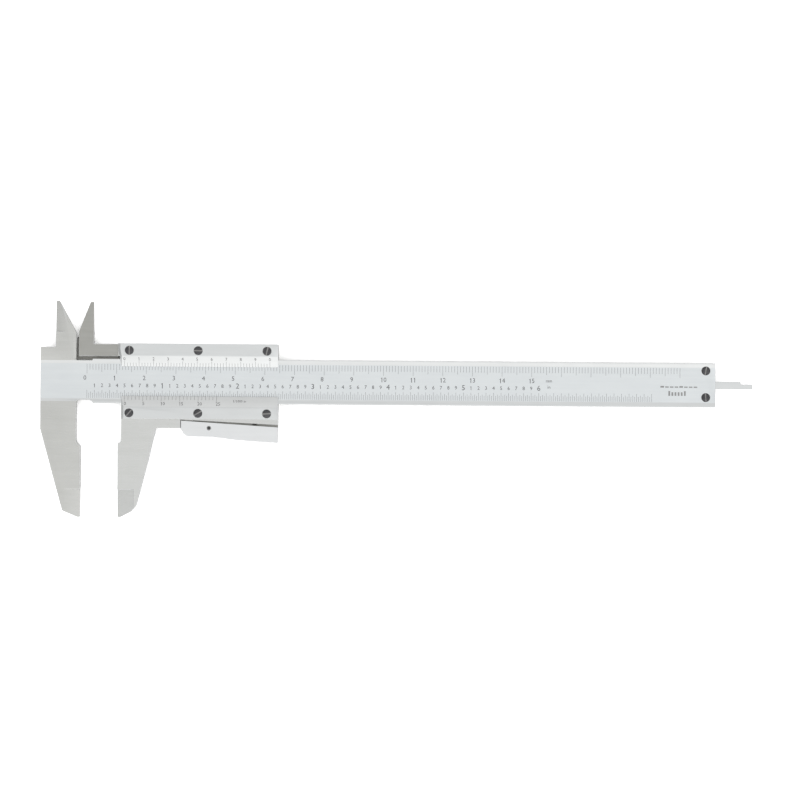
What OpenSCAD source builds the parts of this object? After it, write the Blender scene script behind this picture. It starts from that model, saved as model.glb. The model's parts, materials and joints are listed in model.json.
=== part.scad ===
// Vernier caliper for 150 mm / 6 in, with a sprung thumb clamp and a depth rod.
// X runs along the beam from the jaws to the tail, Y runs towards the inside jaws
// and Z comes out of the scale face. The slider's back lies on z = 0.
// Inside the modules x = 0 is the measuring face of the outside jaw and y = 0 is
// the middle of the beam; at_beam() and at_slider() move a piece to the part's origin.

/* [Beam] */
// Length of the beam with its head
beam_l = 227.7; // [222:0.1:260]
// Width of the beam
beam_w = 15; // [14.6:0.1:15.4]
// Thickness of the beam
beam_t = 3; // [2.8:0.1:3.4]
// Width of the head that the fixed jaws grow out of
head_w = 13.5; // [12.5:0.1:15]
// Depth of the scale face below the beam's raised edges
scale_sink = 0.12; // [0.05:0.01:0.2]
// Half the width of the scale face
scale_half_w = 5.9; // [5.5:0.1:6.1]
// Opening of the jaws in the rest position
opening = 12.7; // [0.1:0.1:150]
// Longest opening, where the slider meets the end stop
opening_max = 153.7; // [150.1:0.1:154]

/* [Outside jaws] */
// Reach of the jaws below the beam's lower edge
jaw_reach = 38.5; // [36:0.5:45]
// Distance below the beam at which the measuring face starts
jaw_face_start = 14.6; // [13.5:0.1:18]
// Setback of the jaw's root behind the measuring face
jaw_setback = 1.5; // [1:0.1:2.5]
// Length of the knife edge at the tip
knife_l = 9.4; // [6:0.1:12]
// Thickness that the knife edge keeps at the measuring face
knife_t = 1; // [0.8:0.1:1.6]

/* [Inside jaws] */
// Reach of the inside jaws above the beam's upper edge
inside_reach = 19.5; // [18:0.1:24]
// Distance of their measuring edge behind the outside jaw's face
inside_x = 8.4; // [7.5:0.1:9]
// Width of the moving inside jaw where it leaves its arm
inside_root_w = 5.1; // [4.6:0.1:5.6]
// Width of an inside jaw at its tip
inside_tip_w = 1.2; // [0.8:0.1:1.6]
// Height of the ground edge below the tip
inside_grind_l = 10.4; // [8:0.1:12]
// Width of the chamfer on the fixed inside jaw's back edge
inside_chamfer_w = 1; // [0.6:0.1:1.4]

/* [Slider] */
// Length of the slider without its jaws
slider_l = 54; // [53:0.1:56]
// Thickness of the wall behind the beam
wall_t = 1.5; // [1.2:0.1:2]
// Outer edge of the upper rail, from the middle of the beam
rail_top_y = 12.7; // [12.4:0.1:13.5]
// Thickness of the gib strip
gib_t = 0.8; // [0.6:0.1:1]

/* [Vernier plates] */
// Thickness of a plate where its screws sit
plate_t = 1.1; // [0.9:0.1:1.5]
// Width of the upper plate
upper_plate_w = 7.75; // [7.4:0.05:8]
// Width of the lower plate
lower_plate_w = 7.6; // [7.5:0.1:7.7]
// Width of the bevelled edge that carries the graduations
bevel_w = 3.55; // [3:0.05:3.8]
// Spacing of the three screws in a plate
screw_pitch = 23.2; // [22:0.1:23.5]
// Width of the chamfer at the plates' jaw end
end_chamfer_w = 0.8; // [0.4:0.1:1]
// Diameter of a plate screw's head
screw_head_d = 2.8; // [2.6:0.1:3.3]

/* [Thumb clamp] */
// Distance of the lever's pin from the moving jaw's face
clamp_pin_x = 30.7; // [29.5:0.1:32]
// Diameter of the lever's pin
clamp_pin_d = 1.3; // [1.1:0.1:1.6]
// Height of the lever at its thumb end
clamp_end_h = 5.3; // [4.6:0.1:6]

/* [Depth rod] */
// Width of the depth rod
rod_w = 2.5; // [2:0.1:2.6]
// Thickness of the depth rod
rod_t = 1.5; // [1.3:0.1:1.6]

/* [Hidden] */
$fn = 48;
fit = 0.05;          // play of a sliding or touching pair
screw_fit = 0.03;    // play round a pin or a screw's shank
cut = 1;             // how far a cutting shape runs past the solid

// levels in z
beam_z = wall_t + fit;
face_z = beam_z + beam_t;
rail_z = face_z + fit;
plate_z = rail_z + plate_t;
split_z = beam_z + beam_t / 2;   // where the two inside jaws pass each other

// places in x and y
edge_y = beam_w / 2;
tail_x = beam_l - head_w;
tip_y = -edge_y - jaw_reach;
face_y = -edge_y - jaw_face_start;
inside_tip_y = edge_y + inside_reach;
head_top_y = edge_y + 3.9;
relief_y = edge_y + 0.9;         // above this the head makes room for the moving inside jaw
arm_y = relief_y + fit;          // underside of the arm that holds that jaw
arm_top_y = rail_top_y - 0.2;
inside_left = -inside_x - inside_root_w;
flange_z = 0.7;                  // back of the arm and its flange
flange_top_z = wall_t - fit;
flange_w = 0.8;
flange_lap = 0.4;                // how far a flange reaches behind the piece beside it
jaw_root_y = -15.8;              // lower edge of the slider beside the moving jaw
jaw_foot_w = 12.8;               // width of the moving jaw where it leaves the slider
gib_y = edge_y + fit;
channel_y = gib_y + gib_t + fit; // inner face of the upper rail
upper_plate_y = rail_top_y - upper_plate_w;
lower_plate_y = -5;
upper_screw_y = rail_top_y - 2.3;
lower_screw_y = lower_plate_y - 5.7;
first_screw_x = 3.8;
gib_screw_x = [first_screw_x + screw_pitch * 0.45, first_screw_x + screw_pitch * 1.55];

// fasteners
shank_d = 1.6;
head_sink = 0.4;      // how deep a screw head sits in its recess
head_proud = 0.5;
slot_w = 0.45;        // driver slot
slot_depth = 0.3;
gib_screw_d = 2;

// end stop and depth rod
stop_x = slider_l + opening_max + fit;
stop_screw_x = tail_x - 3.3;
stop_screw_y = [4.9, -4.1];
stop_head_d = 2.7;
groove_x = 30;
groove_play = 0.1;
rod_x = slider_l - 10;
rod_pin_x = slider_l - 5;
rod_pin_d = 1.4;
rod_step_l = 4;
rod_step_w = 0.8;

// thumb clamp
clamp_x = 21.2;
step_x = clamp_x - 0.13;
clamp_pin_y = -15.65;
clamp_ear_d = 4.6;
slider_low_y = [-12.8, -14.4];   // slider's lower edge at step_x and at its rear
clamp_high_y = [-13.2, -15.25];  // lever's upper edge at clamp_x and at its rear
shoe_x = clamp_pin_x - 6.8;
shoe_w = 2.8;
shoe_h = 2.3;
shoe_low_y = -13.26;
spring_x = 46;
spring_d = 1.9;
spring_wire = 0.36;
spring_turns = 5;
spring_low_y = -16.75;
spring_high_y = -12.4;

// origin: middle of the part's box, on the slider's back
rod_end_x = tail_x + opening;
centre_x = (rod_end_x - head_w) / 2;
centre_y = (inside_tip_y + tip_y) / 2;

plate_screws = [1, 2, 3];
pair = [1, 2];

// ---- helpers ----

module at_beam() translate([-centre_x, -centre_y, 0]) children();

module at_slider() translate([opening - centre_x, -centre_y, 0]) children();

// an outline in x and y as a plate between two levels
module slab(z0, z1) translate([0, 0, z0]) linear_extrude(z1 - z0) children();

// an outline in x and z, extruded between two values of y
module along_y(y0, y1) translate([0, y1, 0]) rotate([90, 0, 0]) linear_extrude(y1 - y0) children();

// an outline in y and z, extruded between two values of x
module along_x(x0, x1) translate([x0, 0, 0]) rotate([90, 0, 90]) linear_extrude(x1 - x0) children();

// chamfer along the top edge of a plate from p to q, which has its solid on the left
module edge_cut(p, q, z, w, h) {
    run = norm(q - p);
    translate([p[0], p[1], 0]) rotate(atan2(q[1] - p[1], q[0] - p[0])) along_x(0, run)
        polygon([[w, z], [-cut, z - h * (w + cut) / w], [-cut, z + cut], [w, z + cut]]);
}

// a rod along z or along y between two heights
module post(x, y, z0, z1, d) translate([x, y, z0]) cylinder(h = z1 - z0, d = d);

module peg(x, z, y0, y1, d) translate([x, y1, z]) rotate([90, 0, 0]) cylinder(h = y1 - y0, d = d);

// shallow notch with round corners, cut into an edge that lies on y = 0
module notch(w, depth) {
    translate([depth, -depth]) square([w - 2 * depth, depth + cut]);
    for (x = [depth, w - depth]) translate([x, 0]) circle(depth);
}

// slotted screw seen along z, with its head's seat at z = 0
module screw(head_d, head_h, d, l) difference() {
    union() {
        cylinder(h = head_h, d = head_d);
        translate([0, 0, -l]) cylinder(h = l + cut / 2, d = d);
    }
    translate([-head_d, -slot_w / 2, head_h - slot_depth]) cube([2 * head_d, slot_w, cut]);
}

// ---- beam ----

module fixed_jaw_outline() polygon([
    [-head_w, 0], [-head_w, -edge_y - 8.8], [-5.9, tip_y + 2.2], [-0.9, tip_y], [0, tip_y],
    [0, face_y], [-jaw_setback, face_y + 1.7], [-jaw_setback, 0]
]);

// back edge of the fixed inside jaw: root, shoulder and tip
inside_edge = [
    [-jaw_setback, edge_y + 0.1], [-jaw_setback, edge_y + 8.9], [inside_tip_w - inside_x, inside_tip_y]
];

module fixed_inside_outline() polygon([
    [-inside_x, 0], [-inside_x, inside_tip_y], inside_edge[2], inside_edge[1], [-jaw_setback, 0]
]);

// the bar, with the relief notches beside the head
module bar_outline() difference() {
    translate([-head_w, -edge_y]) square([beam_l, beam_w]);
    translate([-jaw_setback, edge_y]) notch(5.6, 0.6);
    translate([-jaw_setback, -edge_y]) mirror([0, 1]) notch(5.6, 1.1);
}

// bevel that thins a jaw of the beam's thickness to knife_t at x = 0, seen along y
module knife_bevel(side) for (s = [-1, 1])
    translate([0, split_z]) scale([side, s]) polygon([
        [cut, knife_t / 2 - 0.3], [0, knife_t / 2], [-5.4, beam_t / 2 + 0.02],
        [-5.4, beam_t], [cut, beam_t]
    ]);

module main_beam() color("gainsboro") at_beam() difference() {
    union() {
        slab(beam_z, face_z) bar_outline();
        slab(beam_z, face_z) fixed_jaw_outline();
        slab(beam_z, face_z) fixed_inside_outline();
        slab(beam_z, face_z) translate([-head_w, 0]) square([head_w - jaw_setback - cut, head_top_y]);
    }
    // the moving inside jaw and its arm pass behind the head
    slab(beam_z - cut, split_z + fit) translate([-head_w - cut, relief_y])
        square([head_w + 2 * cut, inside_reach + cut]);
    along_y(tip_y - cut, tip_y + knife_l) knife_bevel(1);
    along_y(inside_tip_y - inside_grind_l, inside_tip_y + cut) polygon([
        [-inside_x - cut, split_z + 0.2], [-inside_x + 3.6, face_z + 0.02],
        [-inside_x + 3.6, face_z + cut], [-inside_x - cut, face_z + cut]
    ]);
    for (i = [0, 1])
        edge_cut(inside_edge[i], inside_edge[i + 1], face_z, inside_chamfer_w, inside_chamfer_w / 2);
    // sunk scale face with its sloping flanks
    along_x(-head_w - cut, tail_x + cut) polygon([
        [-scale_half_w - 1, face_z], [-scale_half_w, face_z - scale_sink],
        [scale_half_w, face_z - scale_sink], [scale_half_w + 1, face_z],
        [scale_half_w + 1, face_z + cut], [-scale_half_w - 1, face_z + cut]
    ]);
    along_x(groove_x, tail_x + cut) translate([-(rod_w + groove_play) / 2, beam_z - cut])
        square([rod_w + groove_play, cut + rod_t + 2 * fit]);
    for (y = stop_screw_y) {
        post(stop_screw_x, y, 0, face_z, shank_d + 2 * screw_fit);
        post(stop_screw_x, y, face_z - 0.8, face_z + cut, stop_head_d + 0.2);
    }
}

module end_stop() color("silver") at_beam() difference() {
    slab(0, wall_t) translate([stop_x, -edge_y + 0.1]) square([tail_x - stop_x, beam_w - 0.2]);
    for (y = stop_screw_y) post(stop_screw_x, y, -cut, wall_t + cut, shank_d + 2 * screw_fit);
}

module end_stop_screw(i) color("dimgray") at_beam()
    translate([stop_screw_x, stop_screw_y[i - 1], face_z - 0.8])
        screw(stop_head_d, 1.15, shank_d, face_z - 1.1);

// ---- slider ----

module slider_outline() polygon([
    [0, rail_top_y], [slider_l, rail_top_y], [slider_l, slider_low_y[1]],
    [step_x, slider_low_y[0]], [step_x, jaw_root_y], [1.1, jaw_root_y], [1.1, -edge_y], [0, -edge_y]
]);

module moving_jaw_outline() polygon([
    [1.1, -edge_y - 1], [1.1, face_y + 1.7], [0, face_y + 1.1], [0, tip_y], [0.9, tip_y],
    [4.5, tip_y + 1.9], [6.3, tip_y + 3.9], [10.5, tip_y + 20.3], [11.7, tip_y + 25.8],
    [jaw_foot_w, jaw_root_y], [jaw_foot_w, -edge_y - 1]
]);

module arm_outline() translate([inside_left, arm_y]) square([cut - inside_left, arm_top_y - arm_y]);

module moving_inside_outline() polygon([
    [-inside_x, arm_y], [-inside_x, inside_tip_y - 0.3], [-inside_x - inside_tip_w, inside_tip_y - 0.3],
    [inside_left, edge_y + 9.2], [inside_left, arm_y]
]);

// flange behind the arm and the jaw, which closes the gap between them and the beam
module arm_flange_outline() polygon([
    [inside_left - flange_w, edge_y - flange_lap], [cut, edge_y - flange_lap], [cut, arm_y + flange_w],
    [inside_left + flange_w, arm_y + flange_w], [inside_left + flange_w, edge_y + 8],
    [inside_left - flange_w, edge_y + 7.2]
]);

// ear behind the lever that holds its pin
module clamp_ear() translate([clamp_pin_x, clamp_pin_y, 0]) {
    cylinder(h = wall_t, d = clamp_ear_d);
    translate([-clamp_ear_d / 2, 0, 0]) cube([clamp_ear_d, 4, wall_t]);
}

// flange that closes the gap above the lever from behind
module clamp_flange_outline() polygon([
    [step_x, slider_low_y[0] + flange_w], [step_x, clamp_high_y[0] - flange_lap],
    [slider_l, clamp_high_y[1] - flange_lap], [slider_l, slider_low_y[1] + flange_w]
]);

module slider_body() color("silver") at_slider() difference() {
    union() {
        slab(0, rail_z) slider_outline();
        slab(beam_z, rail_z) moving_jaw_outline();
        slab(flange_z, split_z - fit / 2) arm_outline();
        slab(beam_z, split_z - fit / 2) moving_inside_outline();
        slab(flange_z, flange_top_z) arm_flange_outline();
        slab(0, flange_top_z) clamp_flange_outline();
        clamp_ear();
    }
    // channel for the beam and the gib
    translate([-cut, -edge_y - fit, wall_t])
        cube([slider_l + 2 * cut, channel_y + edge_y + fit, beam_t + cut]);
    along_y(tip_y - cut, tip_y + knife_l) knife_bevel(-1);
    along_y(inside_tip_y - inside_grind_l, inside_tip_y + cut) polygon([
        [-inside_x + cut, split_z - 0.3], [-inside_x - 3.6, beam_z - 0.02],
        [-inside_x - 3.6, beam_z - cut], [-inside_x + cut, beam_z - cut]
    ]);
    for (i = plate_screws) {
        x = first_screw_x + (i - 1) * screw_pitch;
        post(x, upper_screw_y, rail_z - 2.3, rail_z + cut, shank_d + 2 * screw_fit);
        post(x, lower_screw_y, rail_z - 2.3, rail_z + cut, shank_d + 2 * screw_fit);
    }
    for (x = gib_screw_x) peg(x, split_z, channel_y - cut, rail_top_y + cut, gib_screw_d + 2 * screw_fit);
    post(rod_pin_x, 0, -cut, wall_t + cut, rod_pin_d + 2 * screw_fit);
    post(clamp_pin_x, clamp_pin_y, -cut, wall_t + cut, clamp_pin_d + 2 * screw_fit);
    // window for the clamp shoe and pocket for the spring
    translate([shoe_x - shoe_w / 2 - fit, -16, wall_t]) cube([shoe_w + 2 * fit, 10, shoe_h + 2 * fit]);
    peg(spring_x, split_z, -16, spring_high_y, spring_d + 0.3);
}

module gib() color("lightgray") at_slider() difference() {
    translate([2, gib_y, beam_z]) cube([slider_l - 4, gib_t, beam_t - fit]);
    for (x = gib_screw_x) peg(x, split_z, gib_y + gib_t - 0.25, gib_y + gib_t + cut, gib_screw_d * 0.6);
}

module gib_screw(i) color("dimgray") at_slider() difference() {
    union() {
        peg(gib_screw_x[i - 1], split_z, channel_y, rail_top_y - 0.15, gib_screw_d);
        peg(gib_screw_x[i - 1], split_z, gib_y + gib_t - 0.2, channel_y + 0.2, gib_screw_d * 0.55);
    }
    translate([gib_screw_x[i - 1] - slot_w / 2, rail_top_y - 0.7, 0]) cube([slot_w, cut, 2 * rail_z]);
}

// ---- vernier plates ----

// section of a plate with its outer edge at y = 0 and its bevelled edge at y = -w
module plate_section(w) polygon([
    [0, rail_z], [0, plate_z], [bevel_w - w, plate_z], [-w, rail_z + 0.25], [-w, rail_z]
]);

module plate_holes(y) for (i = plate_screws) {
    x = first_screw_x + (i - 1) * screw_pitch;
    post(x, y, rail_z - cut, plate_z, shank_d + 2 * screw_fit);
    post(x, y, plate_z - head_sink, plate_z + cut, screw_head_d + 0.2);
}

module upper_vernier_plate() color("whitesmoke") at_slider() difference() {
    translate([0, rail_top_y, 0]) along_x(0, slider_l) plate_section(upper_plate_w);
    // slanting jaw end with its chamfer
    slab(rail_z - cut, plate_z + cut) polygon([
        [-cut, rail_top_y - 2], [0, rail_top_y - 2], [1.4, upper_plate_y - cut], [-cut, upper_plate_y - cut]
    ]);
    edge_cut([0, rail_top_y + cut], [0, rail_top_y - 2], plate_z, end_chamfer_w, end_chamfer_w);
    edge_cut([0, rail_top_y - 2], [1.4, upper_plate_y - cut], plate_z, end_chamfer_w, end_chamfer_w);
    plate_holes(upper_screw_y);
}

module lower_vernier_plate() color("whitesmoke") at_slider() difference() {
    translate([0, lower_plate_y - lower_plate_w, 0]) mirror([0, 1, 0])
        along_x(1.1, slider_l) plate_section(lower_plate_w);
    edge_cut([1.1, lower_plate_y + cut], [1.1, lower_plate_y - lower_plate_w - cut],
        plate_z, end_chamfer_w, end_chamfer_w);
    plate_holes(lower_screw_y);
}

module plate_screw(i, y) color("dimgray") at_slider()
    translate([first_screw_x + (i - 1) * screw_pitch, y, plate_z - head_sink])
        screw(screw_head_d, head_sink + head_proud, shank_d, plate_t + 1.7 - head_sink);

// ---- thumb clamp ----

module clamp_outline() polygon([
    [clamp_x, clamp_high_y[0]], [slider_l, clamp_high_y[1]], [slider_l, clamp_high_y[1] - clamp_end_h],
    [slider_l - 14, clamp_high_y[1] - clamp_end_h + 0.9], [slider_l - 21.8, -18.65], [23.4, -18.5],
    [22.2, -17.7], [clamp_x, -15.9]
]);

module thumb_clamp() color("whitesmoke") at_slider() difference() {
    slab(beam_z + fit, rail_z) clamp_outline();
    post(clamp_pin_x, clamp_pin_y, 0, rail_z + cut, clamp_pin_d + 2 * screw_fit);
    peg(spring_x, split_z, spring_low_y, -13, spring_d + 0.3);
}

module thumb_clamp_pin() color("gray") at_slider()
    post(clamp_pin_x, clamp_pin_y, 0.1, rail_z - 0.1, clamp_pin_d);

module clamp_shoe() color("darkgray") at_slider()
    translate([shoe_x - shoe_w / 2, shoe_low_y, beam_z]) cube([shoe_w, -edge_y - 0.02 - shoe_low_y, shoe_h]);

// ring of the spring's wire at turn t, wound about the y axis
function coil_ring(t, sides) = let (
    r = (spring_d - spring_wire) / 2,
    y = (spring_high_y - spring_low_y - spring_wire) * t / spring_turns + spring_wire / 2
) [for (k = [0:sides - 1]) let (a = 360 * k / sides, q = r + cos(a) * spring_wire / 2)
    [cos(360 * t) * q, y + sin(a) * spring_wire / 2, sin(360 * t) * q]];

module thumb_clamp_spring() {
    sides = 6;
    rings = spring_turns * 16;
    points = [for (i = [0:rings]) each coil_ring(i / 16, sides)];
    sleeve = [for (i = [0:rings - 1], k = [0:sides - 1])
        let (a = i * sides + k, b = i * sides + (k + 1) % sides) [a, a + sides, b + sides, b]];
    caps = [[for (k = [0:sides - 1]) k], [for (k = [sides - 1:-1:0]) rings * sides + k]];
    color("dimgray") at_slider() translate([spring_x, spring_low_y, split_z])
        polyhedron(points, concat(sleeve, caps));
}

// ---- depth rod ----

module depth_rod() color("gainsboro") at_slider() difference() {
    translate([rod_x, -rod_w / 2, beam_z + fit]) cube([tail_x - rod_x, rod_w, rod_t]);
    translate([tail_x - rod_step_l, rod_w / 2 - rod_step_w, 0]) cube([rod_step_l + cut, rod_w, rail_z]);
    post(rod_pin_x, 0, 0, rail_z, rod_pin_d + 2 * screw_fit);
}

module depth_rod_pin() color("gray") at_slider()
    post(rod_pin_x, 0, 0.1, beam_z + fit + rod_t - 0.1, rod_pin_d);

// ---- nodes ----

main_beam();
slider_body();
upper_vernier_plate();
lower_vernier_plate();
for (i = plate_screws) {
    plate_screw(i, upper_screw_y);
    plate_screw(i, lower_screw_y);
}
gib();
thumb_clamp();
thumb_clamp_pin();
thumb_clamp_spring();
clamp_shoe();
depth_rod();
depth_rod_pin();
end_stop();
for (i = pair) {
    gib_screw(i);
    end_stop_screw(i);
}
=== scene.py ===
import json
import math

import bmesh
import bpy
from mathutils import Matrix, Vector


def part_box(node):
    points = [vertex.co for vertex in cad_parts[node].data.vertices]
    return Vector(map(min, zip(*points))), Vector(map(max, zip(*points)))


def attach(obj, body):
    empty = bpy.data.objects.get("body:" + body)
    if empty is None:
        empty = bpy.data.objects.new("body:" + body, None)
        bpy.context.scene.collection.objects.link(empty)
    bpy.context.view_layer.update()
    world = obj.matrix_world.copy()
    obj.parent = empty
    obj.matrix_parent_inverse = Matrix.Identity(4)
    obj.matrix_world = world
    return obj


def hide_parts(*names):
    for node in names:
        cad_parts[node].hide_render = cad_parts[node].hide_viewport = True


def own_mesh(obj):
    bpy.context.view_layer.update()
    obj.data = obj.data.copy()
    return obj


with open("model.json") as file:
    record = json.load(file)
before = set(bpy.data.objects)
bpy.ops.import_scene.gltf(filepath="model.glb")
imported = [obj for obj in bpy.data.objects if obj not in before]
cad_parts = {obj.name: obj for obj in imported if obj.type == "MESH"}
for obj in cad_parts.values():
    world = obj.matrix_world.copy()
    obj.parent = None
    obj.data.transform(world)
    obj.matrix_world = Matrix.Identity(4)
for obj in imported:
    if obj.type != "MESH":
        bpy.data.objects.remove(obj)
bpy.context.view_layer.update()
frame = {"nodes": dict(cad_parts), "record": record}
mm = 0.001
inch = 25.4 * mm
print("frame loaded:", len(frame["nodes"]), "nodes")


def mountPlace(name):
    return Vector(next(m["pos_m"] for m in frame["record"]["mounts"] if m["name"] == name))


# a piece rides on a body and stands for its CAD nodes, which it hides
def placePiece(piece, body, *nodes):
    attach(piece, body)
    if nodes:
        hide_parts(*nodes)


# places that the scales and the fasteners are laid out from
rodLow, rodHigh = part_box("depth_rod")
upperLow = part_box("upper_vernier_plate")[0]
jawX = mountPlace("fixed_jaw_face").x  # zero of the outside jaws
slideX = mountPlace("moving_jaw_face").x
midY = (rodLow.y + rodHigh.y) / 2  # middle of the beam
upperEdgeY = upperLow.y  # the plates' graduated edges
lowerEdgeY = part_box("lower_vernier_plate")[1].y
railZ = upperLow.z  # top of the slider's rails, where the plates lie
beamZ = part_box("main_beam")[1].z
scaleZ = beamZ - 0.12 * mm  # the sunk scale face
zeroShift = 2.16 * mm  # both zero lines stand this far from the jaws' faces


# the camera looks straight down on the scale face through a long lens
cameraSetup = {
    "lens": 120, "sensor": 36, "width": 269.8 * mm, "x": 1.1 * mm, "y": 3.8 * mm, "roll": 0.43,
}


def addCamera(setup):
    data = bpy.data.cameras.new("camera")
    data.lens = setup["lens"]
    data.sensor_width = setup["sensor"]
    camera = bpy.data.objects.new("camera", data)
    distance = setup["width"] * setup["lens"] / setup["sensor"]
    camera.location = (setup["x"], setup["y"], beamZ + distance)
    camera.rotation_euler = (0, 0, math.radians(setup["roll"]))
    bpy.context.scene.collection.objects.link(camera)
    bpy.context.scene.camera = camera


addCamera(cameraSetup)


# a node with its settings and inputs, each input a plain value or another node's output
def addNode(tree, kind, inputs=None, **settings):
    node = tree.nodes.new(kind)
    for key, value in settings.items():
        setattr(node, key, value)
    for key, value in (inputs or {}).items():
        if isinstance(value, bpy.types.NodeSocket):
            tree.links.new(value, node.inputs[key])
        else:
            node.inputs[key].default_value = value
    return node


# noise on the piece's own coordinates, with scale in patches per millimetre along x, y and z
def noise(tree, place, scale, detail=3.0):
    mapping = addNode(tree, "ShaderNodeMapping", {"Vector": place, "Scale": [s / mm for s in scale]})
    node = addNode(tree, "ShaderNodeTexNoise", {"Vector": mapping.outputs[0], "Scale": 1, "Detail": detail})
    return node.outputs["Fac"]


# noise values lie mostly between 0.3 and 0.7
def spread(tree, value, low, high):
    node = addNode(tree, "ShaderNodeMapRange", {
        "Value": value, "From Min": 0.3, "From Max": 0.7, "To Min": low, "To Max": high,
    })
    return node.outputs[0]


def mixColors(tree, factor, dark, light):
    node = addNode(tree, "ShaderNodeMix", {0: factor, 6: (*dark, 1), 7: (*light, 1)}, data_type="RGBA")
    return node.outputs[2]


# a metal finish: slow clouds of colour, machining grain in the roughness and bump, and small stains
def metalFinish(name, look):
    material = bpy.data.materials.new(name)
    material.use_nodes = True
    tree = material.node_tree
    shader = tree.nodes["Principled BSDF"]
    place = addNode(tree, "ShaderNodeTexCoord").outputs["Object"]
    grain = noise(tree, place, look["grain"], 4)
    cloud = noise(tree, place, look["cloud"])
    streak = noise(tree, place, look["streak"])
    tone = addNode(tree, "ShaderNodeMath", {0: cloud, 1: streak}, operation="ADD").outputs[0]
    half = addNode(tree, "ShaderNodeMath", {0: tone, 1: 0.5}, operation="MULTIPLY").outputs[0]
    color = mixColors(tree, spread(tree, half, 0, 1), look["dark"], look["light"])
    tree.links.new(color, shader.inputs["Base Color"])
    low, high = look["rough"]
    tree.links.new(spread(tree, grain, low, high), shader.inputs["Roughness"])
    bump = addNode(tree, "ShaderNodeBump", {
        "Height": grain, "Strength": look["bump"], "Distance": look["depth"] * mm,
    })
    tree.links.new(bump.outputs[0], shader.inputs["Normal"])
    shader.inputs["Metallic"].default_value = look["metallic"]
    return material


# rough is a range; grain, cloud and streak are patches per millimetre, depth is in millimetres
def finish(light, dark, rough, grain, bump=0.2, metallic=1.0):
    return {
        "light": light, "dark": dark, "rough": rough, "grain": grain, "cloud": (0.12, 0.2, 0.2),
        "streak": (0.05, 1.2, 1.2), "bump": bump, "depth": 0.008, "metallic": metallic,
    }


finishes = {
    "satinChrome": finish((0.885, 0.92, 0.93), (0.835, 0.87, 0.885), (0.38, 0.5), (4, 6, 6)),
    "beamSteel": finish((0.71, 0.715, 0.69), (0.655, 0.66, 0.635), (0.26, 0.4), (0.5, 9, 9), bump=0.3),
    "sliderSteel": finish((0.77, 0.78, 0.765), (0.715, 0.725, 0.705), (0.26, 0.4), (0.5, 9, 9), bump=0.3),
    # painted shade: the slider's steel made darker, for the gap above the lever and the recessed inside jaw
    "duskySteel": finish((0.51, 0.51, 0.485), (0.45, 0.45, 0.42), (0.3, 0.45), (0.6, 8, 8), bump=0.3),
    "plateChrome": finish((0.83, 0.85, 0.85), (0.78, 0.80, 0.80), (0.3, 0.42), (0.8, 7, 7), bump=0.15),
    # painted highlight: plateChrome made lighter, for the plates' sloping edges and the beam's upper edge
    # strip
    "bevelChrome": finish((0.92, 0.935, 0.93), (0.87, 0.885, 0.88), (0.3, 0.42), (0.8, 7, 7), bump=0.15),
    # painted deep shade for the narrow gap beside the slider's arm and inside jaw
    "oilySteel": finish((0.34, 0.335, 0.315), (0.24, 0.235, 0.22), (0.3, 0.55), (2, 5, 5)),
    "leverSteel": finish((0.92, 0.935, 0.94), (0.87, 0.885, 0.89), (0.3, 0.42), (0.6, 8, 8)),
    "rubbedEdge": finish((0.85, 0.86, 0.86), (0.76, 0.77, 0.77), (0.16, 0.28), (1, 4, 4)),
    "blackOxide": finish((0.13, 0.13, 0.135), (0.08, 0.08, 0.084), (0.3, 0.48), (6, 6, 6), metallic=0.85),
    # painted highlight for the screws' slot floors
    "paintedHighlightSlot": finish((0.42, 0.41, 0.4), (0.28, 0.28, 0.28), (0.3, 0.45), (6, 6, 6)),
    "pinSteel": finish((0.13, 0.13, 0.13), (0.09, 0.09, 0.09), (0.35, 0.5), (6, 6, 6)),
    "springSteel": finish((0.42, 0.41, 0.4), (0.3, 0.29, 0.28), (0.28, 0.4), (6, 6, 6)),
    "etchedMark": finish((0.42, 0.42, 0.42), (0.3, 0.3, 0.3), (0.5, 0.65), (6, 6, 6), metallic=0.0),
    "scaleInk": finish((0.15, 0.15, 0.155), (0.09, 0.09, 0.094), (0.5, 0.65), (6, 6, 6), metallic=0.0),
}
materials = {name: metalFinish(name, look) for name, look in finishes.items()}
print("finishes made:", len(materials))


def newPiece(name, mesh, *surfaces):
    piece = bpy.data.objects.new(name, mesh)
    bpy.context.scene.collection.objects.link(piece)
    for surface in surfaces:
        mesh.materials.append(materials[surface])
    return piece


# the mesh that the modifiers or the text give, in place of them
def plainMesh(piece):
    bpy.context.view_layer.update()
    graph = bpy.context.evaluated_depsgraph_get()
    source = piece.evaluated_get(graph)
    mesh = bpy.data.meshes.new_from_object(source, preserve_all_data_layers=True, depsgraph=graph)
    piece.modifiers.clear()
    if piece.type == "MESH":
        piece.data = mesh
    return mesh


# small round edges that catch the light, rubbed brighter than the faces beside them
def roundEdges(piece, width, sharp=32):
    piece.data.materials.append(materials["rubbedEdge"])
    bevel = piece.modifiers.new("roundEdges", "BEVEL")
    bevel.width = width
    bevel.segments = 2
    bevel.limit_method = "ANGLE"
    bevel.angle_limit = math.radians(sharp)
    bevel.use_clamp_overlap = False
    bevel.material = len(piece.data.materials) - 1
    for polygon in piece.data.polygons:
        polygon.use_smooth = True
    plainMesh(piece)
    piece.data.set_sharp_from_angle(angle=math.radians(sharp))
    normals = piece.modifiers.new("flatFaces", "WEIGHTED_NORMAL")
    normals.keep_sharp = True
    normals.weight = 100
    plainMesh(piece)


mergeGap = 0.001 * mm  # corners closer than this are one
flatAngle = math.radians(0.6)  # triangles that turn by less than this are one face


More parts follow.
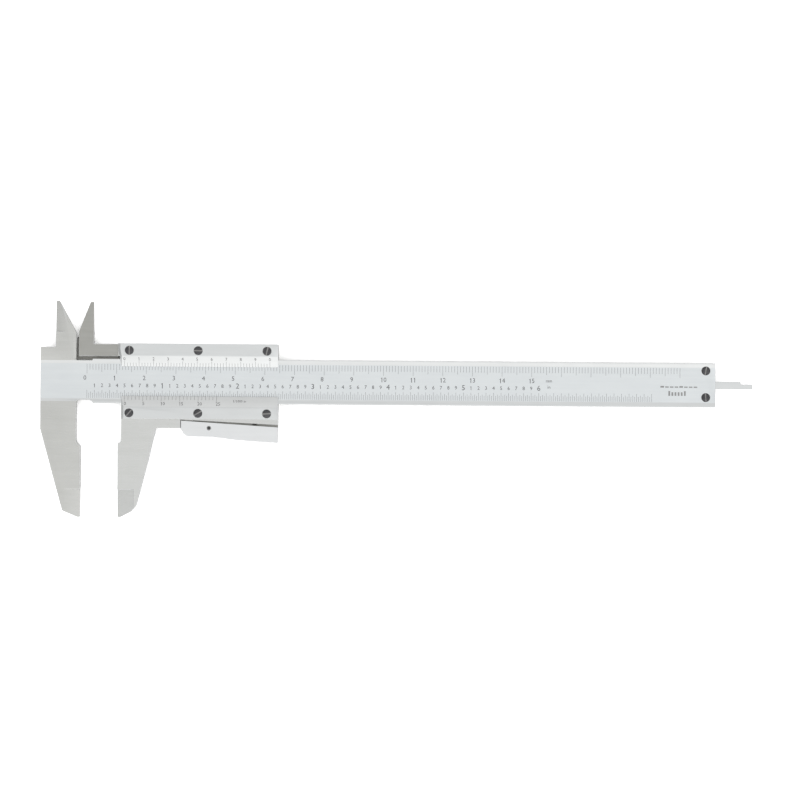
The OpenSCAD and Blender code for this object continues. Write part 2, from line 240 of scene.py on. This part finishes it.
# a finished piece with a CAD node's own shape, which stands for that node
def machined(name, setup):
    source = bmesh.new()
    source.from_mesh(frame["nodes"][setup["node"]].data)
    bmesh.ops.remove_doubles(source, verts=source.verts, dist=mergeGap)
    bmesh.ops.dissolve_limit(source, angle_limit=flatAngle, verts=source.verts, edges=source.edges)
    source.verts.index_update()
    corners = [v.co.copy() for v in source.verts]
    faces = [[v.index for v in f.verts] for f in source.faces]
    source.free()
    mesh = bpy.data.meshes.new(name)
    mesh.from_pydata(corners, [], faces)
    piece = newPiece(name, mesh, *setup["finishes"])
    roundEdges(piece, setup["edge"])
    placePiece(piece, setup["body"], setup["node"])
    return piece


# edge is the width of the rounding, which is rubbedEdge on every piece; the first finish covers the other
# faces that refinish leaves alone, and some later ones are painted shade and some painted highlight
machinedPieces = {
    "mainBeam": {
        "node": "main_beam", "body": "beam", "edge": 0.1 * mm,
        "finishes": ["beamSteel", "satinChrome", "bevelChrome", "plateChrome"],
    },
    "sliderBody": {
        "node": "slider_body", "body": "slider", "edge": 0.1 * mm,
        "finishes": ["sliderSteel", "duskySteel", "oilySteel"],
    },
    "upperVernierPlate": {
        "node": "upper_vernier_plate", "body": "slider", "edge": 0.06 * mm,
        "finishes": ["plateChrome", "bevelChrome"],
    },
    "lowerVernierPlate": {
        "node": "lower_vernier_plate", "body": "slider", "edge": 0.06 * mm,
        "finishes": ["plateChrome", "bevelChrome"],
    },
    "thumbClamp": {
        "node": "thumb_clamp", "body": "thumb_clamp", "edge": 0.15 * mm,
        "finishes": ["leverSteel", "duskySteel"],
    },
    "thumbClampPin": {
        "node": "thumb_clamp_pin", "body": "slider", "edge": 0.08 * mm, "finishes": ["pinSteel"],
    },
    "clampShoe": {
        "node": "clamp_shoe", "body": "clamp_shoe", "edge": 0.1 * mm,
        "finishes": ["sliderSteel", "duskySteel"],
    },
    "gib": {"node": "gib", "body": "slider", "edge": 0.05 * mm, "finishes": ["sliderSteel"]},
    "depthRod": {"node": "depth_rod", "body": "slider", "edge": 0.12 * mm, "finishes": ["plateChrome"]},
    "depthRodPin": {
        "node": "depth_rod_pin", "body": "slider", "edge": 0.08 * mm, "finishes": ["pinSteel"],
    },
    "endStop": {"node": "end_stop", "body": "beam", "edge": 0.15 * mm, "finishes": ["beamSteel"]},
}
made = {name: machined(name, setup) for name, setup in machinedPieces.items()}


# gives another of its finishes, a painted shade or a painted highlight among them, to the faces that a test
# picks by their middle p and direction n
def refinish(name, surface, picks):
    corner = Vector((slideX, midY, 0))
    index = machinedPieces[name]["finishes"].index(surface)
    for polygon in made[name].data.polygons:
        if polygon.material_index == 0 and picks((polygon.center - corner) / mm, polygon.normal):
            polygon.material_index = index


# borders between the finishes and the painted shade and highlight, in millimetres: x from the moving jaw's
# face, y from the beam's middle, and the tops and clampWallLow, which are heights, from the slider's back
border = {
    "stripIn": 5.9, "stripOut": 7.5, "chromeHalf": 7.3, "chromeTop": scaleZ / mm + 0.1,
    "armLow": 8.4, "armHigh": 8.7, "armRight": 0.5, "insideJawLeft": -12,
    "armFlangeLow": 7, "armFlangeTop": 1.48,
    "clampLeft": (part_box("thumb_clamp")[0].x - slideX) / mm,
    "clampHigh": -12, "clampFlangeTop": 1.55, "clampWallLow": 1.6,
}
level, facing, leaning = 0.98, 0.9, 0.7  # how squarely a face looks along an axis
flat, askew = 0.99, 0.1  # a plate's graduated edge isn't quite flat, and looks along x by less than askew

# the scale face, its flanks and the beam's edges are chromed, the head and the jaws are ground; the upper
# edge strip is painted lighter, a painted highlight, and the lower edge strip darker, a painted shade
refinish("mainBeam", "bevelChrome", lambda p, n: (
    n.z > level and border["stripIn"] < p.y < border["stripOut"] and p.x > 0))
refinish("mainBeam", "plateChrome", lambda p, n: (
    n.z > level and border["stripIn"] < -p.y < border["stripOut"] and p.x > 0))
refinish("mainBeam", "satinChrome", lambda p, n: (
    n.z > level and abs(p.y) < border["chromeHalf"] and (p.z < border["chromeTop"] or p.x > 0)))
# painted highlight: the plates' sloping graduated edges are painted lighter than their flats
for name in ("upperVernierPlate", "lowerVernierPlate"):
    refinish(name, "bevelChrome", lambda p, n: facing < n.z < flat and abs(n.x) < askew)

# painted shade: the narrow gap beside the arm and the inside jaw is painted dark
refinish("sliderBody", "oilySteel", lambda p, n: n.y < -facing and border["armLow"] < p.y < border["armHigh"])
refinish("sliderBody", "oilySteel", lambda p, n: (
    n.z > facing and p.z < border["armFlangeTop"] and p.y > border["armFlangeLow"]))
refinish("sliderBody", "oilySteel", lambda p, n: (
    n.x < -leaning and p.y > border["armLow"] and p.x < border["insideJawLeft"]))

# painted shade: the gap above the lever, the lever's top edge and the shoe's upward faces are painted darker,
# though less dark than the gap beside the arm
refinish("sliderBody", "duskySteel", lambda p, n: (
    n.z > facing and p.z < border["clampFlangeTop"] and p.y < border["clampHigh"]))
refinish("sliderBody", "duskySteel", lambda p, n: (
    n.y < -facing and p.x > border["clampLeft"] and p.y < border["clampHigh"]
    and p.z > border["clampWallLow"]))
refinish("thumbClamp", "duskySteel", lambda p, n: n.y > facing)
refinish("clampShoe", "duskySteel", lambda p, n: n.z > facing)

# painted shade: the slider's thin inside jaw and its arm, recessed behind the fixed jaw, are painted darker
refinish("sliderBody", "duskySteel", lambda p, n: p.y > border["armHigh"] and p.x < border["armRight"])
print("machined pieces made:", len(made))


# an empty tree for Geometry Nodes with its named inputs
def newTree(name, inputs):
    tree = bpy.data.node_groups.new(name, "GeometryNodeTree")
    tree.interface.new_socket("Geometry", in_out="OUTPUT", socket_type="NodeSocketGeometry")
    tree.interface.new_socket("Geometry", in_out="INPUT", socket_type="NodeSocketGeometry")
    for label, kind in inputs.items():
        tree.interface.new_socket(label, in_out="INPUT", socket_type="NodeSocket" + kind)
    start = tree.nodes.new("NodeGroupInput")
    end = tree.nodes.new("NodeGroupOutput")
    return tree, start.outputs, end.inputs["Geometry"]


def combine(tree, x=0.0, y=0.0, z=0.0):
    return addNode(tree, "ShaderNodeCombineXYZ", {"X": x, "Y": y, "Z": z}).outputs[0]


# one value where the point's index is a multiple of count, another elsewhere
def everyNth(tree, index, count, others, chosen):
    rest = addNode(tree, "ShaderNodeMath", {0: index, 1: count}, operation="MODULO").outputs[0]
    first = addNode(tree, "ShaderNodeMath", {0: rest, 1: 0.5}, operation="LESS_THAN").outputs[0]
    node = addNode(tree, "GeometryNodeSwitch", {
        "Switch": first, "False": others, "True": chosen,
    }, input_type="FLOAT")
    return node.outputs[0]


def realize(tree, placed, surface, result):
    real = addNode(tree, "GeometryNodeRealizeInstances", {"Geometry": placed})
    painted = addNode(tree, "GeometryNodeSetMaterial", {"Geometry": real.outputs[0], "Material": surface})
    tree.links.new(painted.outputs[0], result)
    return painted


# runs a tree on a mesh and keeps the result as a plain mesh
def runTree(name, tree, values, mesh=None):
    piece = bpy.data.objects.new(name, mesh or bpy.data.meshes.new(name))
    bpy.context.scene.collection.objects.link(piece)
    modifier = piece.modifiers.new("nodes", "NODES")
    modifier.node_group = tree
    sockets = {item.name: item.identifier for item in tree.interface.items_tree if item.in_out == "INPUT"}
    for key, value in values.items():
        modifier[sockets[key]] = value
    plainMesh(piece)
    return piece


# a row of engraved lines of three lengths that runs along x
def graduationTree():
    tree, given, result = newTree("graduationLines", {
        "Start": "Vector", "Pitch": "Float", "Lines": "Int", "Short": "Float", "Middle": "Float",
        "Long": "Float", "Middle every": "Int", "Long every": "Int", "Width": "Float", "Height": "Float",
        "Slope": "Float", "Ink": "Material",
    })
    row = addNode(tree, "GeometryNodeMeshLine", {
        "Count": given["Lines"], "Start Location": given["Start"], "Offset": combine(tree, given["Pitch"]),
    })
    index = addNode(tree, "GeometryNodeInputIndex").outputs[0]
    middle = everyNth(tree, index, given["Middle every"], given["Short"], given["Middle"])
    length = everyNth(tree, index, given["Long every"], middle, given["Long"])
    bar = addNode(tree, "GeometryNodeMeshCube", {"Size": (1, 1, 1)})
    fromEnd = addNode(tree, "GeometryNodeTransform", {"Geometry": bar.outputs[0], "Translation": (0, 0.5, 0)})
    placed = addNode(tree, "GeometryNodeInstanceOnPoints", {
        "Points": row.outputs[0], "Instance": fromEnd.outputs[0], "Rotation": combine(tree, given["Slope"]),
        "Scale": combine(tree, given["Width"], length, given["Height"]),
    })
    realize(tree, placed.outputs[0], given["Ink"], result)
    return tree


lineWidth = 0.08 * mm
lineHeight = 0.012 * mm
lineStart = 5.75 * mm  # where the beam's lines start, on both sides of its middle
plateBevel = {"rise": 0.85 * mm, "width": 3.55 * mm, "edge": 0.25 * mm}  # of the plates' graduated edges
bevelSlope = math.atan2(plateBevel["rise"], plateBevel["width"])
bevelZ = railZ + plateBevel["edge"]
metricVernier = 0.98 * mm  # pitches of the two verniers
inchVernier = 1.225 * inch / 25

graduations = {
    "metricLines": {
        "body": "beam", "x": jawX + zeroShift, "y": midY + lineStart, "z": scaleZ, "side": -1, "slope": 0,
        "pitch": mm, "lines": 201, "lengths": (2.0, 2.7, 3.3), "every": (5, 10),
    },
    "inchLines": {
        "body": "beam", "x": jawX + zeroShift, "y": midY - lineStart, "z": scaleZ, "side": 1, "slope": 0,
        "pitch": inch / 40, "lines": 301, "lengths": (1.7, 2.1, 2.7), "every": (2, 4),
    },
    "upperVernierLines": {
        "body": "slider", "x": slideX + zeroShift, "y": upperEdgeY, "z": bevelZ, "side": 1,
        "slope": bevelSlope, "pitch": metricVernier, "lines": 51, "lengths": (1.3, 1.3, 1.9), "every": (5, 5),
    },
    "lowerVernierLines": {
        "body": "slider", "x": slideX + zeroShift, "y": lowerEdgeY, "z": bevelZ, "side": -1,
        "slope": bevelSlope, "pitch": inchVernier, "lines": 26, "lengths": (1.3, 1.3, 1.9), "every": (5, 5),
    },
    # plain dashes where a maker would sign the beam
    "tailDashes": {
        "body": "beam", "x": jawX + 196.2 * mm, "y": midY - 0.85 * mm, "z": scaleZ, "side": 1, "slope": 0,
        "pitch": 1.6 * mm, "lines": 8, "lengths": (0.4, 0.4, 0.55), "every": (3, 4), "width": 1.2 * mm,
        "ink": "etchedMark",
    },
    "tailBars": {
        "body": "beam", "x": jawX + 198.6 * mm, "y": midY - 3.6 * mm, "z": scaleZ, "side": 1, "slope": 0,
        "pitch": 1.05 * mm, "lines": 6, "lengths": (1.2, 1.2, 1.6), "every": (2, 5), "width": 0.6 * mm,
        "ink": "etchedMark",
    },
}
lineTree = graduationTree()
for name, row in graduations.items():
    slope = row["slope"] if row["side"] > 0 else math.pi - row["slope"]
    lines = runTree(name, lineTree, {
        "Start": (row["x"], row["y"], row["z"]), "Pitch": row["pitch"], "Lines": row["lines"],
        "Short": row["lengths"][0] * mm, "Middle": row["lengths"][1] * mm, "Long": row["lengths"][2] * mm,
        "Middle every": row["every"][0], "Long every": row["every"][1],
        "Width": row.get("width", lineWidth), "Height": lineHeight, "Slope": slope,
        "Ink": materials[row.get("ink", "scaleInk")],
    })
    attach(lines, row["body"])
print("graduations made:", len(graduations))


# one mesh from several, which share their one material
def joinMeshes(name, meshes, surface):
    whole = bmesh.new()
    for mesh in meshes:
        whole.from_mesh(mesh)
    joined = bpy.data.meshes.new(name)
    whole.to_mesh(joined)
    whole.free()
    return newPiece(name, joined, surface)


# a figure one, which the font draws without its flag, 1 high and centred
def flaggedOne():
    outline = [
        (-0.2, 0.2), (-0.2, 0.32), (0, 0.5), (0.09, 0.5), (0.09, -0.5), (-0.05, -0.5), (-0.05, 0.33),
    ]
    shape = bmesh.new()
    bottom = [shape.verts.new((x, y, -0.5)) for x, y in outline]
    face = shape.faces.new(bottom)
    top = bmesh.ops.extrude_face_region(shape, geom=[face])["geom"]
    bmesh.ops.translate(shape, vec=(0, 0, 1), verts=[v for v in top if isinstance(v, bmesh.types.BMVert)])
    bmesh.ops.recalc_face_normals(shape, faces=shape.faces)
    mesh = bpy.data.meshes.new("one")
    shape.to_mesh(mesh)
    shape.free()
    return mesh


digitHeight = 0.72  # of the font's size


# a character as a mesh 1 high and 1 thick, centred
def character(text):
    if text == "1":
        return flaggedOne()
    curve = bpy.data.curves.new("character", "FONT")
    curve.body = text
    curve.size = 1 / digitHeight
    curve.align_x = "CENTER"
    curve.align_y = "CENTER"
    curve.extrude = 0.5
    curve.resolution_u = 2
    shape = bpy.data.objects.new("character", curve)
    bpy.context.scene.collection.objects.link(shape)
    mesh = plainMesh(shape)
    bpy.data.objects.remove(shape)
    return mesh


digitWidth = 0.68
characterWidths = {"m": 0.95, "i": 0.36, "/": 0.5, " ": 0.4}  # where they aren't a digit's
characters = {text: character(text) for text in "0123456789min/"}


# a row of characters centred at x and y on a face that slopes about x
def figure(text, height, x, y, z, slope=0.0):
    widths = [characterWidths.get(letter, digitWidth) for letter in text]
    left = -sum(widths) / 2
    whole = bmesh.new()
    for letter, width in zip(text, widths):
        if letter != " ":
            mesh = characters[letter].copy()
            mesh.transform(Matrix.Translation((left + width / 2, 0, 0)))
            whole.from_mesh(mesh)
        left += width
    joined = bpy.data.meshes.new("figure")
    whole.to_mesh(joined)
    whole.free()
    size = Matrix.Diagonal((height, height, lineHeight, 1))
    joined.transform(Matrix.Translation((x, y, z)) @ Matrix.Rotation(slope, 4, "X") @ size)
    return joined


figureRows = {
    "metric": {"height": 1.55 * mm, "y": midY + 1 * mm, "left": 0.7 * mm},
    "tenths": {"height": 1.25 * mm, "y": midY - 1.55 * mm},
    "inches": {"height": 1.8 * mm, "y": midY - 1.5 * mm},
    "units": {"height": 1.1 * mm, "x": jawX + 158 * mm, "apart": 1.05 * mm},
    "upperVernier": {"height": 1.1 * mm, "up": 2.6 * mm},
    "lowerVernier": {"height": 1.15 * mm, "up": 2.65 * mm, "right": 0.25 * mm},
    "note": {"height": 0.85 * mm, "x": slideX + 41 * mm, "up": 1.6 * mm},
}


def beamFigures(rows):
    zeroX = jawX + zeroShift
    metric, tenths, inches, units = (rows[key] for key in ("metric", "tenths", "inches", "units"))
    meshes = []
    for n in range(16):
        left = metric["left"] if n < 10 else 0
        meshes.append(figure(str(n), metric["height"], zeroX + n * 10 * mm - left, metric["y"], scaleZ))
    for n in range(1, 60):
        row, text = (inches, n // 10) if n % 10 == 0 else (tenths, n % 10)
        meshes.append(figure(str(text), row["height"], zeroX + n * inch / 10, row["y"], scaleZ))
    meshes.append(figure("6", inches["height"], zeroX + 6 * inch, inches["y"], scaleZ))
    meshes.append(figure("mm", units["height"], units["x"], midY + units["apart"], scaleZ))
    meshes.append(figure("in", units["height"], units["x"], midY - units["apart"], scaleZ))
    return joinMeshes("beamFigures", meshes, "scaleInk")


def vernierFigures(rows):
    zeroX = slideX + zeroShift
    upper, lower, note = (rows[key] for key in ("upperVernier", "lowerVernier", "note"))
    meshes = []
    for n in range(11):
        meshes.append(figure(
            str(n % 10), upper["height"], zeroX + n * 5 * metricVernier,
            upperEdgeY + upper["up"] * math.cos(bevelSlope),
            bevelZ + upper["up"] * math.sin(bevelSlope), bevelSlope))
    for n in range(0, 26, 5):
        right = lower["right"] * len(str(n))
        meshes.append(figure(
            str(n), lower["height"], zeroX + n * inchVernier + right,
            lowerEdgeY - lower["up"] * math.cos(bevelSlope),
            bevelZ + lower["up"] * math.sin(bevelSlope), -bevelSlope))
    meshes.append(figure(
        "1/1000 in", note["height"], note["x"], lowerEdgeY - note["up"],
        bevelZ + note["up"] * math.tan(bevelSlope), -bevelSlope))
    return joinMeshes("vernierFigures", meshes, "scaleInk")


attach(beamFigures(figureRows), "beam")
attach(vernierFigures(figureRows), "slider")
print("figures made")


# a closed shape turned about z from its outline of radius and height
def turned(name, outline, sides):
    shape = bmesh.new()
    rings = []
    for radius, height in outline:
        count = 1 if radius == 0 else sides
        turns = [2 * math.pi * k / sides for k in range(count)]
        rings.append([shape.verts.new((radius * math.cos(t), radius * math.sin(t), height)) for t in turns])
    for lower, upper in zip(rings, rings[1:]):
        for k in range(sides):
            a, b = lower[k % len(lower)], lower[(k + 1) % len(lower)]
            c, d = upper[(k + 1) % len(upper)], upper[k % len(upper)]
            corners = list(dict.fromkeys((a, b, c, d)))
            shape.faces.new(corners)
    bmesh.ops.recalc_face_normals(shape, faces=shape.faces)
    mesh = bpy.data.meshes.new(name)
    shape.to_mesh(mesh)
    shape.free()
    return mesh


def block(name, low, high):
    shape = bmesh.new()
    bmesh.ops.create_cube(shape, size=1)
    for v in shape.verts:
        v.co = [low[i] + (v.co[i] + 0.5) * (high[i] - low[i]) for i in range(3)]
    mesh = bpy.data.meshes.new(name)
    shape.to_mesh(mesh)
    shape.free()
    return newPiece(name, mesh)


# shares of a head's radius and of its dome, and the steps of the crown's curve
crownShape = {"steps": 6, "width": 0.94, "rise": 0.9, "rim": 0.97, "rimDrop": 0.05 * mm, "sides": 28}


# a slotted screw along z with its head's top at z = 0; the slot's floor is painted lighter, a painted
# highlight
def slottedScrew(name, setup):
    r, h, dome, shank = setup["head"] / 2, setup["deep"], setup["dome"], setup["shank"] / 2
    steps, width, rise = crownShape["steps"], crownShape["width"], crownShape["rise"]
    crown = [math.pi / 2 * k / steps for k in range(steps)]
    outline = [(width * r * math.sin(t), -rise * dome * (1 - math.cos(t))) for t in crown]
    outline += [(crownShape["rim"] * r, -dome), (r, -dome - crownShape["rimDrop"]), (r, -h), (shank, -h)]
    outline += [(shank, -setup["length"]), (0, -setup["length"])]
    screw = newPiece(name, turned(name, outline, crownShape["sides"]))
    half, deep = setup["slot"] / 2, setup["slotDepth"]
    slot = block("slot", (-2 * r, -half, -deep), (2 * r, half, mm))
    cutSlot = screw.modifiers.new("slot", "BOOLEAN")
    cutSlot.object = slot
    cutSlot.operation = "DIFFERENCE"
    cutSlot.solver = "EXACT"
    plainMesh(screw)
    bpy.data.objects.remove(slot)
    # painted highlight: the slot's floor is marked for the lighter finish
    bare = screw.data.attributes.new("bare", "BOOLEAN", "FACE")
    for polygon in screw.data.polygons:
        onFloor = abs(polygon.center.z + deep) < 0.01 * mm and polygon.normal.z > 0.9
        bare.data[polygon.index].value = onFloor
        polygon.use_smooth = True
    screw.data.set_sharp_from_angle(angle=math.radians(35))
    return screw


# puts a screw at every point of a mesh, turned as the point's own rotation says
def screwTree():
    tree, given, result = newTree("screwSet", {
        "Screw": "Object", "Head finish": "Material", "Slot finish": "Material",
    })
    info = addNode(tree, "GeometryNodeObjectInfo", {"Object": given["Screw"], "As Instance": True})
    turn = addNode(tree, "GeometryNodeInputNamedAttribute", {"Name": "turn"}, data_type="FLOAT_VECTOR")
    bare = addNode(tree, "GeometryNodeInputNamedAttribute", {"Name": "bare"}, data_type="BOOLEAN")
    placed = addNode(tree, "GeometryNodeInstanceOnPoints", {
        "Points": given["Geometry"], "Instance": info.outputs["Geometry"], "Rotation": turn.outputs[0],
    })
    heads = realize(tree, placed.outputs[0], given["Head finish"], result)
    slots = addNode(tree, "GeometryNodeSetMaterial", {
        "Geometry": heads.outputs[0], "Selection": bare.outputs[0], "Material": given["Slot finish"],
    })
    tree.links.new(slots.outputs[0], result)
    return tree


# sets of like screws in the places of their CAD nodes; turns are the slots' angles in degrees
vernierScrews = [f"{side}_vernier_screw_{n}" for side in ("upper", "lower") for n in (1, 2, 3)]
screwSets = {
    "plateScrews": {
        "body": "slider", "nodes": vernierScrews, "turns": (90, 0, 75, 50, 30, 4), "axis": "z",
        "head": 2.8 * mm, "deep": 0.9 * mm, "dome": 0.35 * mm, "shank": 1.6 * mm, "length": 3 * mm,
        "slot": 0.45 * mm, "slotDepth": 0.42 * mm,
    },
    "tailScrews": {
        "body": "beam", "nodes": ["end_stop_screw_1", "end_stop_screw_2"], "turns": (80, 95), "axis": "z",
        "head": 2.7 * mm, "deep": 1.15 * mm, "dome": 0.3 * mm, "shank": 1.6 * mm, "length": 4.4 * mm,
        "slot": 0.45 * mm, "slotDepth": 0.4 * mm,
    },
    "gibScrews": {
        "body": "slider", "nodes": ["gib_screw_1", "gib_screw_2"], "turns": (35, 100), "axis": "y",
        "head": 2 * mm, "deep": 3.7 * mm, "dome": 0.12 * mm, "shank": 1.1 * mm, "length": 4.3 * mm,
        "slot": 0.4 * mm, "slotDepth": 0.5 * mm,
    },
}


# a point at the top of each CAD screw's head, with the rotation of the screw put there
def screwPoints(name, setup):
    places, turns = [], []
    for node, angle in zip(setup["nodes"], setup["turns"]):
        low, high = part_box(node)
        middle = (low + high) / 2
        turn = math.radians(angle)
        if setup["axis"] == "z":
            places.append((middle.x, middle.y, high.z))
            turns.append((0, 0, turn))
        else:
            places.append((middle.x, high.y, middle.z))
            turns.append((-math.pi / 2, turn, 0))
    mesh = bpy.data.meshes.new(name)
    mesh.from_pydata(places, [], [])
    attribute = mesh.attributes.new("turn", "FLOAT_VECTOR", "POINT")
    for value, turn in zip(attribute.data, turns):
        value.vector = turn
    return mesh


screwNodes = screwTree()
for name, setup in screwSets.items():
    pattern = slottedScrew(name + "Pattern", setup)
    screws = runTree(name, screwNodes, {
        "Screw": pattern, "Head finish": materials["blackOxide"], "Slot finish": materials["paintedHighlightSlot"],
    }, screwPoints(name, setup))
    bpy.data.objects.remove(pattern)
    placePiece(screws, setup["body"], *setup["nodes"])
print("screws made")


# the clamp's coil spring, wound about y
springSetup = {"turns": 5.0, "wire": 0.36 * mm, "steps": 24, "sides": 10, "pressed": 0.89}


def springTree():
    tree, given, result = newTree("coilSpring", {
        "Turns": "Float", "Radius": "Float", "Length": "Float", "Wire": "Float", "Steps": "Int",
        "Sides": "Int", "Start": "Vector", "Finish": "Material",
    })
    coil = addNode(tree, "GeometryNodeCurveSpiral", {
        "Resolution": given["Steps"], "Rotations": given["Turns"], "Start Radius": given["Radius"],
        "End Radius": given["Radius"], "Height": given["Length"],
    })
    half = addNode(tree, "ShaderNodeMath", {0: given["Wire"], 1: 0.5}, operation="MULTIPLY").outputs[0]
    wire = addNode(tree, "GeometryNodeCurvePrimitiveCircle", {"Resolution": given["Sides"], "Radius": half})
    swept = addNode(tree, "GeometryNodeCurveToMesh", {
        "Curve": coil.outputs[0], "Profile Curve": wire.outputs[0], "Fill Caps": True,
    })
    placed = addNode(tree, "GeometryNodeTransform", {
        "Geometry": swept.outputs[0], "Translation": given["Start"], "Rotation": (-math.pi / 2, 0, 0),
    })
    realize(tree, placed.outputs[0], given["Finish"], result)
    return tree


def clampSpring(setup):
    low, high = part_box("thumb_clamp_spring")
    middle = (low + high) / 2
    wire = setup["wire"]
    spring = runTree("thumbClampSpring", springTree(), {
        "Turns": setup["turns"], "Radius": (high.x - low.x - wire) / 2, "Length": high.y - low.y - wire,
        "Wire": wire, "Steps": setup["steps"], "Sides": setup["sides"],
        "Start": (middle.x, low.y + wire / 2, middle.z), "Finish": materials["springSteel"],
    })
    for polygon in spring.data.polygons:
        polygon.use_smooth = True
    placePiece(spring, "slider", "thumb_clamp_spring")
    # the lever comes 0.48 mm closer to the slider at the spring as the clamp opens
    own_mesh(spring)


clampSpring(springSetup)
print("spring made")


# the floor, which has a lamp of its own, and the light on the object
floorSetup = {"half": 3, "drop": 0.02 * mm, "tone": 0.8, "seenTone": 1.5, "light": 1.4, "spread": 150}
tentSetup = {"level": 0.86, "right": 0.25, "front": 0.6, "low": 0.7, "seen": 1.0}
softboxSetup = {"place": (0.1, -0.8, 0.9), "size": (1.0, 0.5), "power": 0.4}


def addLamp(name, kind, place, energy):
    data = bpy.data.lights.new(name, kind)
    data.energy = energy
    lamp = bpy.data.objects.new(name, data)
    lamp.location = place
    lamp.rotation_euler = (-Vector(place)).to_track_quat("-Z", "Y").to_euler()
    lamp.visible_camera = False
    bpy.context.scene.collection.objects.link(lamp)
    return lamp


def addFloor(setup):
    half = setup["half"]
    mesh = bpy.data.meshes.new("floor")
    corners = [(-half, -half), (half, -half), (half, half), (-half, half)]
    mesh.from_pydata([(x, y, -setup["drop"]) for x, y in corners], [], [(0, 1, 2, 3)])
    paint = bpy.data.materials.new("paleFloor")
    paint.use_nodes = True
    tree = paint.node_tree
    tree.nodes.remove(tree.nodes["Principled BSDF"])
    seen = addNode(tree, "ShaderNodeLightPath").outputs["Is Camera Ray"]
    tone = mixColors(tree, seen, [setup["tone"]] * 3, [setup["seenTone"]] * 3)
    matte = addNode(tree, "ShaderNodeBsdfDiffuse", {"Color": tone})
    tree.links.new(matte.outputs[0], tree.nodes["Material Output"].inputs["Surface"])
    mesh.materials.append(paint)
    floor = bpy.data.objects.new("floor", mesh)
    bpy.context.scene.collection.objects.link(floor)
    lamp = addLamp("floorLamp", "SUN", (0, 0, 1), setup["light"])
    lamp.data.angle = math.radians(setup["spread"])
    lit = bpy.data.collections.new("litByFloorLamp")
    lit.objects.link(floor)
    lamp.light_linking.receiver_collection = lit


# a soft light tent, brighter towards the front and the right and darker towards the horizon
def addTent(setup):
    world = bpy.data.worlds.new("lightTent")
    bpy.context.scene.world = world
    world.use_nodes = True
    tree = world.node_tree

    def plus(a, b):
        return addNode(tree, "ShaderNodeMath", {0: a, 1: b}, operation="ADD").outputs[0]

    def times(a, b):
        return addNode(tree, "ShaderNodeMath", {0: a, 1: b}, operation="MULTIPLY").outputs[0]

    direction = addNode(tree, "ShaderNodeTexCoord").outputs["Generated"]
    up = addNode(tree, "ShaderNodeSeparateXYZ", {0: direction}).outputs["Z"]
    lean = addNode(tree, "ShaderNodeVectorMath", {
        0: direction, 1: (setup["right"], -setup["front"], 0),
    }, operation="DOT_PRODUCT").outputs["Value"]
    height = plus(times(up, 1 - setup["low"]), setup["low"])
    light = times(times(height, plus(times(lean, up), 1.0)), setup["level"])
    seen = addNode(tree, "ShaderNodeLightPath").outputs["Is Camera Ray"]
    strength = addNode(tree, "ShaderNodeMix", {0: seen, 2: light, 3: setup["seen"]}, data_type="FLOAT")
    background = tree.nodes["Background"].inputs
    tree.links.new(strength.outputs[0], background["Strength"])
    background["Color"].default_value = (1, 1, 1, 1)


def addSoftbox(setup):
    lamp = addLamp("frontSoftbox", "AREA", setup["place"], setup["power"])
    lamp.data.shape = "RECTANGLE"
    lamp.data.size, lamp.data.size_y = setup["size"]


addFloor(floorSetup)
addTent(tentSetup)
addSoftbox(softboxSetup)
bpy.context.scene.view_settings.view_transform = "Standard"
print("stage set")
